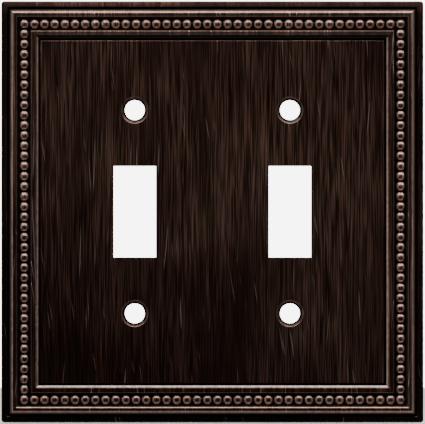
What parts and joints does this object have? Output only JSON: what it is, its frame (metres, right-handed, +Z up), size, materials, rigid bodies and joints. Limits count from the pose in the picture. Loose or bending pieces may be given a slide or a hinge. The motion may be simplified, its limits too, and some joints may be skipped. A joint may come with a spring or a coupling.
{
  "type": "wall plate cover",
  "caption": "Square cast wall plate for a pair of toggle switches, with a beaded border, a hollow back and loose mounting screws.",
  "frame": {"origin": "middle of the plate, on the wall plane that its rear rim rests against", "axes": "+X to the right across the plate, +Z up the wall, +Y into the wall; the face looks to -Y"},
  "size_m": [0.1254, 0.0093, 0.1252],
  "materials": {
    "cover_bronze": "dark bronze plating, vertically brushed and rubbed through on the high edges, under clear lacquer",
    "screw_bronze": "steel screw plated dark bronze, satin"
  },
  "bodies": {
    "plate": {"cover_plate": "cover_bronze"},
    "screw_1": {"mounting_screw_1": "screw_bronze"},
    "screw_2": {"mounting_screw_2": "screw_bronze"},
    "screw_3": {"mounting_screw_3": "screw_bronze"},
    "screw_4": {"mounting_screw_4": "screw_bronze"}
  },
  "joints": [
    {"name": "screw_1_lift_out", "type": "slide", "parent": "plate", "child": "screw_1", "axis": [0, 1, 0], "range_m": [0, 0.015]},
    {"name": "screw_2_lift_out", "type": "slide", "parent": "plate", "child": "screw_2", "axis": [0, 1, 0], "range_m": [0, 0.015]},
    {"name": "screw_3_lift_out", "type": "slide", "parent": "plate", "child": "screw_3", "axis": [0, 1, 0], "range_m": [0, 0.015]},
    {"name": "screw_4_lift_out", "type": "slide", "parent": "plate", "child": "screw_4", "axis": [0, 1, 0], "range_m": [0, 0.015]}
  ]
}
